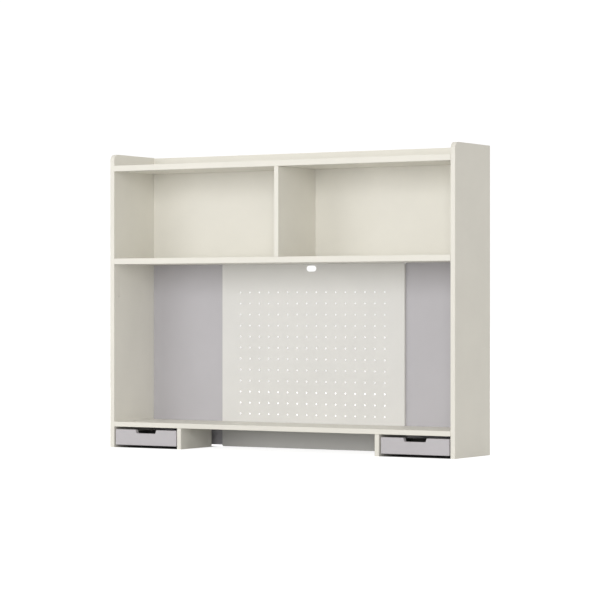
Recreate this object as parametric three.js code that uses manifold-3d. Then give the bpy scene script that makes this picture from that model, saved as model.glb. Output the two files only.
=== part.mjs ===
// Desk hutch: an open shelf unit that stands on the rear of a desk.
// Millimetres, +Z up. The origin is the middle of the footprint at desk level. The front faces -Y.
// Cream boards make the frame. A perforated steel tray closes the middle of the lower bay, and
// two small drawers run on ball-bearing slides under the lower shelf.

import * as THREE from "three";
import { mergeVertices } from "three/addons/utils/BufferGeometryUtils.js";
import Module from "manifold-3d";

const wasm = await Module();
wasm.setup();

// ---- Driving dimensions ----

const width = 1200;
const depth = 222;
const height = 905;
const uprightThick = 15; // side panels and dividers
const shelfThick = 18; // top board and middle shelf
const lowerShelfThick = 15;
const backThick = 5;
const clearance = 0.3; // gap between pieces that touch
const edgeRadius = 1; // rounded edge of every board
const frontEdgeRadius = 1.6; // softer edge of the drawer fronts
const roundSteps = 3; // flats in a quarter turn of a board's edge
const cornerRadius = 20; // top front corner of the side panels

const topBoardTop = 870;
const middleShelfTop = 583;
const lowerShelfTop = 79;
const rimTop = 903;
const backFoot = 5; // the back panels stop this far above the desk
const dividerShift = 2; // the upper divider stands this far right of the middle

const tray = { width: 645, forward: 13.5, sheet: 1.2, foot: 1, bend: 1.5 };
const pegHoles = { columns: 16, rows: 12, pitch: 34, radius: 2.75, middleZ: 291 };
const cableHole = { length: 34, height: 18, z: 550 };
const pinHole = { radius: 3, deep: 8, fromFront: 26, z: 465 };

const drawerBay = { width: 233, dividerDepth: 171 };
const drawer = {
  frontWidth: 224,
  frontLow: 8,
  frontHigh: 56,
  frontThick: 15,
  setBack: 2,
  sideThick: 12,
  sideLow: 10,
  sideHigh: 46,
  length: 150,
  bottomThick: 4,
  bottomLow: 14.5,
  groove: 5,
};
const notch = { topWidth: 76, bottomWidth: 69, deep: 11, cornerRadius: 3 };

// Slide section: p runs from the fixed board to the drawer side, q is up from the slide's middle.
const slide = {
  length: 150,
  behindFront: 1, // gap from the drawer front to the slide
  space: 9.6,
  middleZ: 30,
  metal: 1,
  railHalf: 8.5,
  railDeep: 8,
  runnerHalf: 4.4,
  runnerNear: 2.8,
  runnerFar: 9.3,
  cageLength: 70,
  cageFromRear: 10,
  cageMetal: 0.8,
  cageNear: 1.6,
  cageFar: 6.8,
  cageHalf: 6.4,
  ballRadius: 1.2,
  ballP: 5,
  ballQ: 6,
  ballsPerRow: 4,
};

// Cam locks: a bolt screwed into the side panel ends in a cam set in the underside of the board.
const cam = {
  radius: 7.5,
  fromEnd: 24,
  channelWide: 7.4,
  channelPast: 2.8, // how far the bolt channel runs past the cam's middle
  driveLong: 9,
  driveWide: 1.6,
  driveDeep: 2,
};
const bolt = { thread: 2.5, threadLong: 11, shaft: 3, neck: 2, neckAt: 21, headAt: 23, end: 26, taper: 1 };
const boltBoreRadius = 4;
const threadBoreRadius = 2.85;
const fittingFromEdge = 37; // cam lines in from the front and rear edges of a board

// ---- Derived places ----

const frontY = -depth / 2;
const rearY = depth / 2;
const innerX = width / 2 - uprightThick;
const boardRearY = rearY - backThick - clearance;
const boardHalf = innerX - clearance;
const trayFrontY = rearY - tray.forward;
const middleShelfLow = middleShelfTop - shelfThick;
const lowerShelfLow = lowerShelfTop - lowerShelfThick;
const backSeamZ = middleShelfTop - shelfThick / 2;
const bayMiddleX = innerX - drawerBay.width / 2;
const boxHalf = drawerBay.width / 2 - slide.space;
const boxFrontY = frontY + drawer.setBack + drawer.frontThick + clearance;
const slideFrontY = boxFrontY + slide.behindFront;
const camRows = [frontY + fittingFromEdge, boardRearY - fittingFromEdge];

const crossBoards = [
  { name: "top_board", low: topBoardTop - shelfThick, thick: shelfThick, camHigh: 13.5 },
  { name: "middle_shelf", low: middleShelfLow, thick: shelfThick, camHigh: 13.5 },
  { name: "lower_shelf", low: lowerShelfLow, thick: lowerShelfThick, camHigh: 12 },
];
const sides = [
  { name: "left", sign: -1 },
  { name: "right", sign: 1 },
];

// ---- Materials ----

const finish = (color, roughness, metalness = 0) =>
  new THREE.MeshStandardMaterial({ color, roughness, metalness });
const creamBoard = () => finish(0xece8dc, 0.45);
const lilacBoard = () => finish(0xc9c2c8, 0.5);
const creamSteel = () => finish(0xebe8de, 0.35);
const drawerBoard = () => finish(0x595856, 0.6);
const zincSteel = () => finish(0xb9bbbd, 0.35, 0.9);
const castZinc = () => finish(0xa9a9a6, 0.4, 0.8);

// ---- Solids ----

// A closed three.js geometry as a manifold solid, with its shared vertices merged.
function toSolid(geometry) {
  const bare = geometry.clone();
  bare.deleteAttribute("normal");
  bare.deleteAttribute("uv");
  const merged = mergeVertices(bare, 1e-4);
  const vertProperties = new Float32Array(merged.attributes.position.array);
  const triVerts = new Uint32Array(merged.index.array);
  return new wasm.Manifold(new wasm.Mesh({ numProp: 3, vertProperties, triVerts }));
}

// A manifold solid as a three.js geometry.
function toGeometry(solid) {
  const mesh = solid.getMesh();
  const geometry = new THREE.BufferGeometry();
  geometry.setAttribute("position", new THREE.BufferAttribute(mesh.vertProperties, 3));
  geometry.setIndex(new THREE.BufferAttribute(mesh.triVerts, 1));
  geometry.computeVertexNormals();
  return geometry;
}

// The geometry with every tool cut out of it.
function cut(geometry, tools) {
  return toGeometry(tools.reduce((solid, tool) => solid.subtract(toSolid(tool)), toSolid(geometry)));
}

// The geometry with every other geometry joined to it.
function join(geometry, others) {
  return toGeometry(others.reduce((solid, other) => solid.add(toSolid(other)), toSolid(geometry)));
}

// An outline from a list of [x, y] corners.
function outline(corners) {
  return new THREE.Shape(corners.map(([x, y]) => new THREE.Vector2(x, y)));
}

function rectangle(lowX, highX, lowY, highY) {
  return outline([
    [lowX, lowY],
    [highX, lowY],
    [highX, highY],
    [lowX, highY],
  ]);
}

// A plate with the outline in X and Y, filling Z from 0 to thick.
function plate(shape, thick) {
  return new THREE.ExtrudeGeometry(shape, { depth: thick, bevelEnabled: false, curveSegments: 8 });
}

// A plate whose outline edges are rounded on both faces.
function board(shape, thick, radius = edgeRadius) {
  const geometry = new THREE.ExtrudeGeometry(shape, {
    depth: thick - 2 * radius,
    bevelThickness: radius,
    bevelSize: radius,
    bevelOffset: -radius,
    bevelSegments: roundSteps,
    curveSegments: 18,
  });
  return geometry.translate(0, 0, radius);
}

function block(lowX, highX, lowY, highY, lowZ, highZ) {
  const box = new THREE.BoxGeometry(highX - lowX, highY - lowY, highZ - lowZ);
  return box.translate((lowX + highX) / 2, (lowY + highY) / 2, (lowZ + highZ) / 2);
}

// Round bars, from the given end towards the plus side of their axis.
function barX(radius, length, sidesCount, x, y, z) {
  const bar = new THREE.CylinderGeometry(radius, radius, length, sidesCount);
  return bar.rotateZ(Math.PI / 2).translate(x + length / 2, y, z);
}

function barZ(radius, length, sidesCount, x, y, z) {
  const bar = new THREE.CylinderGeometry(radius, radius, length, sidesCount);
  return bar.rotateX(Math.PI / 2).translate(x, y, z + length / 2);
}

// ---- Placing ----

const hutch = new THREE.Group();

const axisX = new THREE.Vector3(1, 0, 0);
const axisY = new THREE.Vector3(0, 1, 0);
const axisZ = new THREE.Vector3(0, 0, 1);

// Turns a mesh so that its own X, Y and Z run along the three given directions.
function turn(mesh, alongX, alongY, alongZ) {
  mesh.quaternion.setFromRotationMatrix(new THREE.Matrix4().makeBasis(alongX, alongY, alongZ));
}

function piece(name, geometry, material, parent = hutch) {
  const mesh = new THREE.Mesh(geometry, material);
  mesh.name = name;
  parent.add(mesh);
  return mesh;
}

// ---- Frame boards ----

// Outline in depth and height, thickness across. Bores for the bolts open on the inner face.
function sidePanel(side) {
  const shape = new THREE.Shape();
  shape.moveTo(0, 0);
  shape.lineTo(depth, 0);
  shape.lineTo(depth, height);
  shape.lineTo(cornerRadius, height);
  shape.absarc(cornerRadius, height - cornerRadius, cornerRadius, Math.PI / 2, Math.PI, false);
  const boreDeep = bolt.threadLong + 0.5;
  const innerLow = (deep) => (side.sign < 0 ? uprightThick - deep : -1);
  const bore = (radius, deep, sidesCount, fromFront, z) =>
    barZ(radius, deep + 1, sidesCount, fromFront, z, innerLow(deep));
  const bores = crossBoards.flatMap((cross) =>
    camRows.map((y) => bore(threadBoreRadius, boreDeep, 10, y - frontY, cross.low + cross.thick / 2)),
  );
  bores.push(bore(pinHole.radius, pinHole.deep, 12, pinHole.fromFront, pinHole.z));
  const mesh = piece(`${side.name}_side_panel`, cut(board(shape, uprightThick), bores), creamBoard());
  turn(mesh, axisY, axisZ, axisX);
  mesh.position.set(side.sign < 0 ? -width / 2 : innerX, frontY, 0);
}

// The lower shelf is cut back in the middle, where the steel tray passes behind it.
function crossOutline(name) {
  if (name !== "lower_shelf") return rectangle(-boardHalf, boardHalf, frontY, boardRearY);
  const cutHalf = tray.width / 2 + clearance;
  const cutY = trayFrontY - clearance;
  return outline([
    [-boardHalf, frontY],
    [boardHalf, frontY],
    [boardHalf, boardRearY],
    [cutHalf, boardRearY],
    [cutHalf, cutY],
    [-cutHalf, cutY],
    [-cutHalf, boardRearY],
    [-boardHalf, boardRearY],
  ]);
}

// A horizontal board with a bolt bore and a cam pocket at each fitting.
function crossBoard(cross) {
  const tools = [];
  for (const { sign } of sides) {
    for (const y of camRows) {
      const camX = sign * (boardHalf - cam.fromEnd);
      const boreX = sign < 0 ? -boardHalf - 1 : camX;
      tools.push(barX(boltBoreRadius, cam.fromEnd + 1, 10, boreX, y, cross.thick / 2));
      tools.push(barZ(cam.radius + clearance, cross.camHigh + clearance + 1, 16, camX, y, -1));
    }
  }
  const whole = board(crossOutline(cross.name), cross.thick);
  const mesh = piece(cross.name, cut(whole, tools), creamBoard());
  mesh.position.z = cross.low;
}

function upright(name, lowX, high, low, deep) {
  const shape = rectangle(0, deep, 0, high - low - 2 * clearance);
  const mesh = piece(name, board(shape, uprightThick), creamBoard());
  turn(mesh, axisY, axisZ, axisX);
  mesh.position.set(lowX, frontY, low + clearance);
}

function dividers() {
  const fullDepth = boardRearY - frontY;
  const upperX = dividerShift - uprightThick / 2;
  upright("upper_divider", upperX, topBoardTop - shelfThick, middleShelfTop, fullDepth);
  const outer = innerX - drawerBay.width;
  upright("left_drawer_divider", -outer, lowerShelfLow, -clearance, drawerBay.dividerDepth);
  upright("right_drawer_divider", outer - uprightThick, lowerShelfLow, -clearance, drawerBay.dividerDepth);
}

// A back panel, flush with the rear edges of the side panels.
function backPanel(name, lowX, highX, low, high, material) {
  const mesh = piece(name, plate(rectangle(lowX, highX, low, high), backThick), material);
  turn(mesh, axisX, axisZ, axisY.clone().negate());
  mesh.position.y = rearY;
}

function backPanels() {
  const seam = clearance / 2;
  const inner = tray.width / 2 + clearance;
  backPanel("upper_back_panel", -boardHalf, boardHalf, backSeamZ + seam, rimTop, creamBoard());
  backPanel("left_back_panel", -boardHalf, -inner, backFoot, backSeamZ - seam, lilacBoard());
  backPanel("right_back_panel", inner, boardHalf, backFoot, backSeamZ - seam, lilacBoard());
}

// ---- Pegboard ----

// The front sheet and the two side flanges as one folded section, seen from above.
function traySection() {
  const half = tray.width / 2;
  const back = tray.forward - clearance;
  const { sheet, bend } = tray;
  return outline([
    [-half + bend, 0],
    [half - bend, 0],
    [half, bend],
    [half, back],
    [half - sheet, back],
    [half - sheet, bend + sheet / 2],
    [half - bend - sheet / 2, sheet],
    [-half + bend + sheet / 2, sheet],
    [-half + sheet, bend + sheet / 2],
    [-half + sheet, back],
    [-half, back],
    [-half, bend],
  ]);
}

function pegHoleTools() {
  const tools = [];
  for (let column = 0; column < pegHoles.columns; column++) {
    for (let row = 0; row < pegHoles.rows; row++) {
      const x = (column - (pegHoles.columns - 1) / 2) * pegHoles.pitch;
      const z = pegHoles.middleZ + (row - (pegHoles.rows - 1) / 2) * pegHoles.pitch;
      const hole = new THREE.CylinderGeometry(pegHoles.radius, pegHoles.radius, 6, 6);
      tools.push(hole.translate(x, 0.5, z));
    }
  }
  return tools;
}

// An oblong with round ends, cut through the front sheet.
function cableHoleTool() {
  const radius = cableHole.height / 2;
  const reach = cableHole.length / 2 - radius;
  const shape = new THREE.Shape();
  shape.absarc(reach, 0, radius, -Math.PI / 2, Math.PI / 2, false);
  shape.absarc(-reach, 0, radius, Math.PI / 2, (3 * Math.PI) / 2, false);
  return plate(shape, 6).rotateX(Math.PI / 2).translate(0, 4, cableHole.z);
}

function pegboard() {
  const top = middleShelfLow - clearance;
  const wall = plate(traySection(), top - tray.foot).translate(0, 0, tray.foot);
  const flangeHalf = tray.width / 2 - tray.sheet / 2;
  const flangeBack = tray.forward - clearance;
  const flanges = [top - tray.sheet, tray.foot].map((z) =>
    block(-flangeHalf, flangeHalf, tray.sheet / 2, flangeBack, z, z + tray.sheet),
  );
  const folded = join(wall, flanges);
  const pierced = cut(folded, [...pegHoleTools(), cableHoleTool()]);
  const mesh = piece("pegboard_panel", pierced, creamSteel());
  mesh.position.y = trayFrontY;
}

// ---- Drawers ----

function drawerFront(side, parent) {
  const half = drawer.frontWidth / 2;
  const high = drawer.frontHigh;
  const notchLow = high - notch.deep;
  const cornerX = notch.bottomWidth / 2;
  const shape = new THREE.Shape();
  shape.moveTo(-half, drawer.frontLow);
  shape.lineTo(half, drawer.frontLow);
  shape.lineTo(half, high);
  shape.lineTo(notch.topWidth / 2, high);
  shape.lineTo(cornerX + notch.cornerRadius / 3, notchLow + notch.cornerRadius);
  shape.quadraticCurveTo(cornerX, notchLow, cornerX - notch.cornerRadius, notchLow);
  shape.lineTo(notch.cornerRadius - cornerX, notchLow);
  const cornerHigh = notchLow + notch.cornerRadius;
  shape.quadraticCurveTo(-cornerX, notchLow, -cornerX - notch.cornerRadius / 3, cornerHigh);
  shape.lineTo(-notch.topWidth / 2, high);
  shape.lineTo(-half, high);
  const grooveHalf = boxHalf - drawer.sideThick + drawer.groove;
  const grooveLow = drawer.bottomLow - clearance;
  const grooveHigh = drawer.bottomLow + drawer.bottomThick + clearance;
  const groove = block(-grooveHalf, grooveHalf, grooveLow, grooveHigh, -1, drawer.groove);
  const geometry = cut(board(shape, drawer.frontThick, frontEdgeRadius), [groove]);
  const mesh = piece(`${side.name}_drawer_front`, geometry, lilacBoard(), parent);
  turn(mesh, axisX, axisZ, axisY.clone().negate());
  mesh.position.y = frontY + drawer.setBack + drawer.frontThick;
}

// Both sides carry the groove of the bottom sheet on their inner face.
function drawerSide(side, hand, parent) {
  const low = drawer.sideLow;
  const inner = hand.sign < 0 ? drawer.sideThick - drawer.groove : -1;
  const grooveLow = drawer.bottomLow - clearance - low;
  const grooveHigh = grooveLow + drawer.bottomThick + 2 * clearance;
  const groove = block(-1, drawer.length + 1, grooveLow, grooveHigh, inner, inner + drawer.groove + 1);
  const shape = rectangle(0, drawer.length, 0, drawer.sideHigh - low);
  const geometry = cut(board(shape, drawer.sideThick), [groove]);
  const mesh = piece(`${side.name}_drawer_${hand.name}_side`, geometry, drawerBoard(), parent);
  turn(mesh, axisY, axisZ, axisX);
  mesh.position.set(hand.sign < 0 ? -boxHalf : boxHalf - drawer.sideThick, boxFrontY, low);
}

// The back stands on the bottom sheet, between the two sides.
function drawerBack(side, parent) {
  const half = boxHalf - drawer.sideThick - clearance;
  const low = drawer.bottomLow + drawer.bottomThick + clearance;
  const shape = rectangle(-half, half, low, drawer.sideHigh);
  const geometry = board(shape, drawer.sideThick);
  const mesh = piece(`${side.name}_drawer_back`, geometry, drawerBoard(), parent);
  turn(mesh, axisX, axisZ, axisY.clone().negate());
  mesh.position.y = boxFrontY + drawer.length;
}

function drawerBottom(side, parent) {
  const half = boxHalf - drawer.sideThick + drawer.groove - clearance;
  const front = boxFrontY - drawer.groove;
  const shape = rectangle(-half, half, front, boxFrontY + drawer.length);
  const geometry = plate(shape, drawer.bottomThick);
  const mesh = piece(`${side.name}_drawer_bottom`, geometry, drawerBoard(), parent);
  mesh.position.z = drawer.bottomLow;
}

// ---- Slides ----

// A channel section: a web and two flanges, the mouth towards plus p or minus p.
function channel(near, far, half, metal, mouthFar) {
  const web = mouthFar ? near + metal : far - metal;
  const mouth = mouthFar ? far : near;
  const spine = mouthFar ? near : far;
  const corners = [
    [spine, -half],
    [mouth, -half],
    [mouth, -half + metal],
    [web, -half + metal],
    [web, half - metal],
    [mouth, half - metal],
    [mouth, half],
    [spine, half],
  ];
  return outline(mouthFar ? corners : corners.reverse());
}

function cageGeometry() {
  const { cageNear, cageFar, cageHalf, cageMetal, cageLength, ballsPerRow } = slide;
  const strip = plate(channel(cageNear, cageFar, cageHalf, cageMetal, true), cageLength);
  const balls = [];
  for (let i = 0; i < ballsPerRow; i++) {
    for (const sign of [-1, 1]) {
      const along = ((i + 0.5) * cageLength) / ballsPerRow;
      const ball = new THREE.IcosahedronGeometry(slide.ballRadius, 0);
      balls.push(ball.translate(slide.ballP, sign * slide.ballQ, along));
    }
  }
  return join(strip, balls);
}

// One slide: a rail on the fixed board, a runner on the drawer side and a ball cage between them.
function drawerSlide(side, hand, parent) {
  const { length, metal, railHalf, railDeep, runnerHalf, runnerNear, runnerFar } = slide;
  const rail = plate(channel(clearance, railDeep, railHalf, metal, true), length);
  const runner = plate(channel(runnerNear, runnerFar, runnerHalf, metal, false), length);
  const name = `${side.name}_drawer_${hand.name}_slide`;
  const wallX = (hand.sign * drawerBay.width) / 2;
  const rearOfSlide = slideFrontY + length;
  const cageRear = rearOfSlide - slide.cageFromRear;
  const parts = [
    [piece(`${name}_rail`, rail, zincSteel(), parent), slideFrontY, rearOfSlide],
    [piece(`${name}_runner`, runner, zincSteel(), parent), slideFrontY, rearOfSlide],
    [piece(`${name}_cage`, cageGeometry(), zincSteel(), parent), cageRear - slide.cageLength, cageRear],
  ];
  for (const [mesh, front, rear] of parts) {
    const inward = axisX.clone().multiplyScalar(-hand.sign);
    turn(mesh, inward, axisZ, axisY.clone().multiplyScalar(hand.sign));
    mesh.position.set(wallX, hand.sign < 0 ? rear : front, slide.middleZ);
  }
}

function drawerUnit(side) {
  const unit = new THREE.Group();
  unit.position.x = side.sign * bayMiddleX;
  hutch.add(unit);
  drawerFront(side, unit);
  drawerBack(side, unit);
  drawerBottom(side, unit);
  for (const hand of sides) {
    drawerSide(side, hand, unit);
    drawerSlide(side, hand, unit);
  }
}

// ---- Cam locks ----

// A short round housing with a channel for the bolt head and a cross drive in its open face.
function camGeometry(cross) {
  const { radius, channelWide, channelPast, driveLong, driveWide, driveDeep } = cam;
  const axisHigh = cross.thick / 2;
  const reach = channelWide / 2;
  const tools = [
    block(-radius - 1, channelPast, -reach, reach, axisHigh - reach, axisHigh + reach),
    block(-driveLong / 2, driveLong / 2, -driveWide / 2, driveWide / 2, -1, driveDeep),
    block(-driveWide / 2, driveWide / 2, -driveLong / 2, driveLong / 2, -1, driveDeep),
  ];
  return cut(barZ(radius, cross.camHigh, 16, 0, 0, 0), tools);
}

// A turned bolt: the thread at the low end, then shaft, neck and head, along its own Y.
function boltGeometry() {
  const profile = [
    [0, -bolt.threadLong],
    [bolt.thread, -bolt.threadLong],
    [bolt.thread, clearance / 2],
    [bolt.shaft, clearance / 2],
    [bolt.shaft, bolt.neckAt - bolt.taper],
    [bolt.neck, bolt.neckAt],
    [bolt.neck, bolt.headAt - bolt.taper],
    [bolt.head, bolt.headAt],
    [bolt.head, bolt.end - bolt.taper],
    [0, bolt.end],
  ];
  return new THREE.LatheGeometry(profile.map(([r, y]) => new THREE.Vector2(r, y)), 8);
}

function camLock(cross, side, row, y) {
  const name = `${cross.name}_${side.name}_${row}`;
  const housing = piece(`${name}_cam`, camGeometry(cross), castZinc());
  housing.position.set(side.sign * (boardHalf - cam.fromEnd), y, cross.low);
  housing.rotation.z = side.sign < 0 ? 0 : Math.PI;
  const screw = piece(`${name}_bolt`, boltGeometry(), zincSteel());
  screw.position.set(side.sign * innerX, y, cross.low + cross.thick / 2);
  screw.rotation.z = (side.sign * Math.PI) / 2;
}

// ---- Assembly ----

sides.forEach(sidePanel);
crossBoards.forEach(crossBoard);
dividers();
backPanels();
pegboard();
sides.forEach(drawerUnit);
for (const cross of crossBoards) {
  for (const side of sides) {
    camLock(cross, side, "front", camRows[0]);
    camLock(cross, side, "rear", camRows[1]);
  }
}

export default hutch;
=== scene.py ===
"""Desk hutch: finishes, fine pieces, floor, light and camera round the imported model.

The file is laid out as an add-on and is run as a script. Lengths are in metres, +Z is up and the
front faces -Y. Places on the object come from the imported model, and most other sizes and the
colours from the property groups below.
"""

import math

import bmesh
import bpy
import numpy as np
from bpy.props import FloatProperty, FloatVectorProperty, IntProperty, PointerProperty
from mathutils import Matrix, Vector


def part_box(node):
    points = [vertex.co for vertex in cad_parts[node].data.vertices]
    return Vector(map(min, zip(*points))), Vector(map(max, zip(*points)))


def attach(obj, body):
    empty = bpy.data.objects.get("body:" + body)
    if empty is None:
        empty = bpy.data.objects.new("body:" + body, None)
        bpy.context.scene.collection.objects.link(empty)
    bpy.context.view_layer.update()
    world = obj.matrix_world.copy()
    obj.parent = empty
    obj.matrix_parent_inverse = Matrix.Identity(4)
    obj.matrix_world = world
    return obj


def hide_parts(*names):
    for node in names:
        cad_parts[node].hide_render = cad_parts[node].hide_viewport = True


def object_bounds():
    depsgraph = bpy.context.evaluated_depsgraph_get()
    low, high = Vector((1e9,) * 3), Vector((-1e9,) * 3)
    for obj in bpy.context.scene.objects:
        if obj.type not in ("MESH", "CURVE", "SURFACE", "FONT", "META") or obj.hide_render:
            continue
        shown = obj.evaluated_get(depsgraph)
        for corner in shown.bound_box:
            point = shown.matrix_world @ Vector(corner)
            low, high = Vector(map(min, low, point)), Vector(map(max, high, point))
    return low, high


bl_info = {
    "name": "Desk Hutch",
    "version": (1, 0, 0),
    "blender": (4, 5, 0),
    "location": "View3D > Sidebar > Hutch",
    "description": "Finishes and fine pieces of a desk hutch with two small drawers",
    "category": "Object",
}

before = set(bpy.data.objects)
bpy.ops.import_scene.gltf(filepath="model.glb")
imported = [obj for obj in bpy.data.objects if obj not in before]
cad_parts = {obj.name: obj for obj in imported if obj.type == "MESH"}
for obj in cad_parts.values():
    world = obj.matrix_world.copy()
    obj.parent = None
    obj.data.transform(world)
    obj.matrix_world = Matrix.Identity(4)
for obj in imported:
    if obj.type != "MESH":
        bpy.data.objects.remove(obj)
CAD_LOW, CAD_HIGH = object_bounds()

MM = 0.001
SIDES = ("left", "right")
CORNER_STEPS = 6
SHARP = math.radians(45)
WELD = 0.004 * MM  # points of a new mesh that are nearer than this are one
FINE_WELD = 0.002 * MM  # the same for a copied solid and for edges that have shrunk to nothing
WHITE, BLACK = (1.0, 1.0, 1.0, 1.0), (0.0, 0.0, 0.0, 1.0)
DUST_TONE = (0.66, 0.65, 0.62, 1.0)

UPRIGHTS = ("left_side_panel", "right_side_panel")
SHELVES = ("top_board", "middle_shelf", "lower_shelf")
DIVIDERS = ("upper_divider", "left_drawer_divider", "right_drawer_divider")
LILAC_PANELS = ("left_back_panel", "right_back_panel")
BOX_PARTS = ("left_side", "right_side", "back", "bottom")


# ---- Sizes and colours ----


def colour(name, description, value):
    """A colour property with its default in linear light."""
    return FloatVectorProperty(
        name=name, description=description, default=value, size=3, min=0, max=1, subtype="COLOR"
    )


def length(name, description, value):
    """A length property in metres."""
    return FloatProperty(name=name, description=description, default=value, min=0, unit="LENGTH")


def amount(name, description, value, high=1.0):
    """A plain number property."""
    return FloatProperty(name=name, description=description, default=value, min=0, max=high)


class HutchFinishes(bpy.types.PropertyGroup):
    """Colours of the boards and metals, and how worn and dusty they are."""

    cream: colour("Cream Board", "Foil on the frame boards", (0.80, 0.783, 0.722))
    lilac: colour("Lilac Board", "Foil on the lower back panels", (0.506, 0.494, 0.522))
    lilac_front: colour("Drawer Front", "Foil on the drawer fronts", (0.53, 0.512, 0.536))
    steel: colour("Cream Steel", "Powder coat on the pegboard", (0.72, 0.714, 0.695))
    # dark: painted shade that stands for the dark inside of the drawers
    drawer: colour("Drawer Board", "Foil wrapped round the drawer box", (0.10, 0.096, 0.092))
    zinc: colour("Zinc Plate", "Plated steel of slides, bolts and screws", (0.60, 0.61, 0.63))
    cast: colour("Cast Zinc", "Cam housings", (0.46, 0.46, 0.45))
    wear: amount("Edge Wear", "How strongly the edges are rubbed", 0.35)
    wear_width: length("Wear Width", "How far the rubbing reaches in from an edge", 1.6 * MM)
    dust: amount("Dust", "Dust on the faces that look up", 0.12)
    band: length("Edge Band", "Thickness of the band glued on the front edges", 0.9 * MM)


class HutchPegboard(bpy.types.PropertyGroup):
    """The folded and punched steel sheet."""

    columns: IntProperty(name="Columns", description="Holes across", default=16, min=1)
    rows: IntProperty(name="Rows", description="Holes up", default=12, min=1)
    pitch: length("Pitch", "Distance between holes", 34 * MM)
    hole_radius: length("Hole Radius", "Radius of a peg hole", 2.75 * MM)
    middle_z: length("Middle Z", "Height of the middle of the hole field", 291 * MM)
    sheet: length("Sheet", "Thickness of the steel", 1.2 * MM)
    bend: length("Bend", "Outer radius of the folds", 1.8 * MM)
    lip: length("Lip", "Rounding of the punched and cut edges", 0.18 * MM)
    cable_z: length("Cable Hole Z", "Height of the middle of the cable hole", 550 * MM)
    cable_length: length("Cable Hole Length", "Length of the cable hole", 34 * MM)
    cable_height: length("Cable Hole Height", "Height of the cable hole", 18 * MM)


class HutchDrawers(bpy.types.PropertyGroup):
    """Drawer fronts and their ball-bearing slides."""

    edge: length("Front Edge", "Rounding of the drawer fronts", 1.6 * MM)
    corner: length("Front Corner", "Radius of a front's outer corners", 2.2 * MM)
    notch_top: length("Notch Top", "Width of the finger notch at its mouth", 76 * MM)
    notch_bottom: length("Notch Bottom", "Width of the finger notch at its floor", 69 * MM)
    notch_deep: length("Notch Depth", "Depth of the finger notch", 11 * MM)
    notch_radius: length("Notch Radius", "Radius in the corners of the notch", 3 * MM)
    metal: length("Slide Metal", "Sheet that rails and runners are rolled from", 1.0 * MM)
    cage_metal: length("Cage Metal", "Sheet of the ball cage", 0.8 * MM)
    ball: length("Ball Radius", "Radius of a slide's balls", 1.35 * MM)
    balls: IntProperty(name="Balls", description="Balls in one row of a cage", default=6, min=2)


class HutchScrews(bpy.types.PropertyGroup):
    """Countersunk screws with a cross recess."""

    radius: length("Head Radius", "Radius of a screw head", 3.4 * MM)
    proud: length("Proud", "How far a head's crown stands above its seat", 0.25 * MM)
    spacing: length("Spacing", "Largest gap between screws along a board", 190 * MM)
    arm: length("Recess Arm", "Half the length of the cross recess", 2.0 * MM)
    slot: length("Recess Width", "Half the width of the cross recess", 0.42 * MM)
    recess: length("Recess Depth", "Depth of the cross recess", 1.3 * MM)
    rim: length("Rim", "Depth of the rim above the cone", 0.25 * MM)
    cone: length("Cone", "Depth of the foot of the cone", 2.0 * MM)
    row_end: length("Row End", "From a panel's edge to the first screw of a row", 30 * MM)


class HutchStage(bpy.types.PropertyGroup):
    """Floor, light and camera."""

    floor: colour("Floor", "Pale floor", (0.40, 0.40, 0.40))
    glow: amount("Floor Glow", "How bright the floor looks by itself", 0.85, 4)
    bounce: amount("Floor Bounce", "Share of the light that the floor throws back", 0.72)
    sky: amount("Sky", "Brightness of the soft light from all round", 0.61, 4)
    warmth: colour("Warmth", "Tint of the soft light from all round", (1.0, 0.975, 0.925))
    key: amount("Key Light", "Power of the far light in front, in watts", 240, 2000)
    left: amount("Left Light", "Power of the near light on the left, in watts", 27, 2000)
    right: amount("Right Light", "Power of the light on the right side panel, in watts", 6, 2000)
    rear: amount("Rear Light", "Power of the light behind, in watts", 110, 2000)
    lens: amount("Lens", "Focal length in millimetres", 150.67, 500)
    turn: FloatProperty(
        name="Turn", description="Camera angle from straight ahead", default=math.radians(31.0),
        subtype="ANGLE",
    )


def settings(group):
    """The scene's values of one property group."""
    return getattr(bpy.context.scene, f"hutch_{group}")


# ---- Node trees ----


class Wiring:
    """Adds nodes to one tree and joins them. An input is a number, a tuple or another node's output."""

    def __init__(self, tree):
        self.tree = tree

    def put(self, value, socket):
        if isinstance(value, bpy.types.NodeSocket):
            self.tree.links.new(value, socket)
        elif value is not None:
            socket.default_value = value

    def node(self, kind, inputs=(), **values):
        made = self.tree.nodes.new(kind)
        for key, value in values.items():
            setattr(made, key, value)
        for key, value in dict(inputs).items():
            self.put(value, made.inputs[key])
        return made

    def math(self, operation, *values, kind="ShaderNodeMath", **more):
        return self.node(kind, enumerate(values), operation=operation, **more).outputs[0]

    def times(self, first, second):
        return self.math("MULTIPLY", first, second)

    def vector(self, operation, *values):
        return self.math(operation, *values, kind="ShaderNodeVectorMath")

    def parts(self, vector):
        return self.node("ShaderNodeSeparateXYZ", {"Vector": vector}).outputs

    def noise(self, vector, scale, detail=2.0, rough=0.5):
        inputs = {"Vector": vector, "Scale": scale, "Detail": detail, "Roughness": rough}
        return self.node("ShaderNodeTexNoise", inputs).outputs["Fac"]

    def fade(self, value, low, high, to_low=0.0, to_high=1.0):
        inputs = {0: value, 1: low, 2: high, 3: to_low, 4: to_high}
        return self.node("ShaderNodeMapRange", inputs, interpolation_type="SMOOTHSTEP").outputs[0]

    def place(self):
        return self.node("ShaderNodeTexCoord").outputs["Object"]

    def stretched(self, scale):
        inputs = {"Vector": self.place(), "Scale": scale}
        return self.node("ShaderNodeMapping", inputs).outputs[0]

    def mix(self, factor, first, second):
        inputs = {0: factor, 6: first, 7: second}
        return self.node("ShaderNodeMix", inputs, data_type="RGBA").outputs[2]

    def group(self, name, **values):
        return self.node("ShaderNodeGroup", values, node_tree=bpy.data.node_groups[name]).outputs


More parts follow.
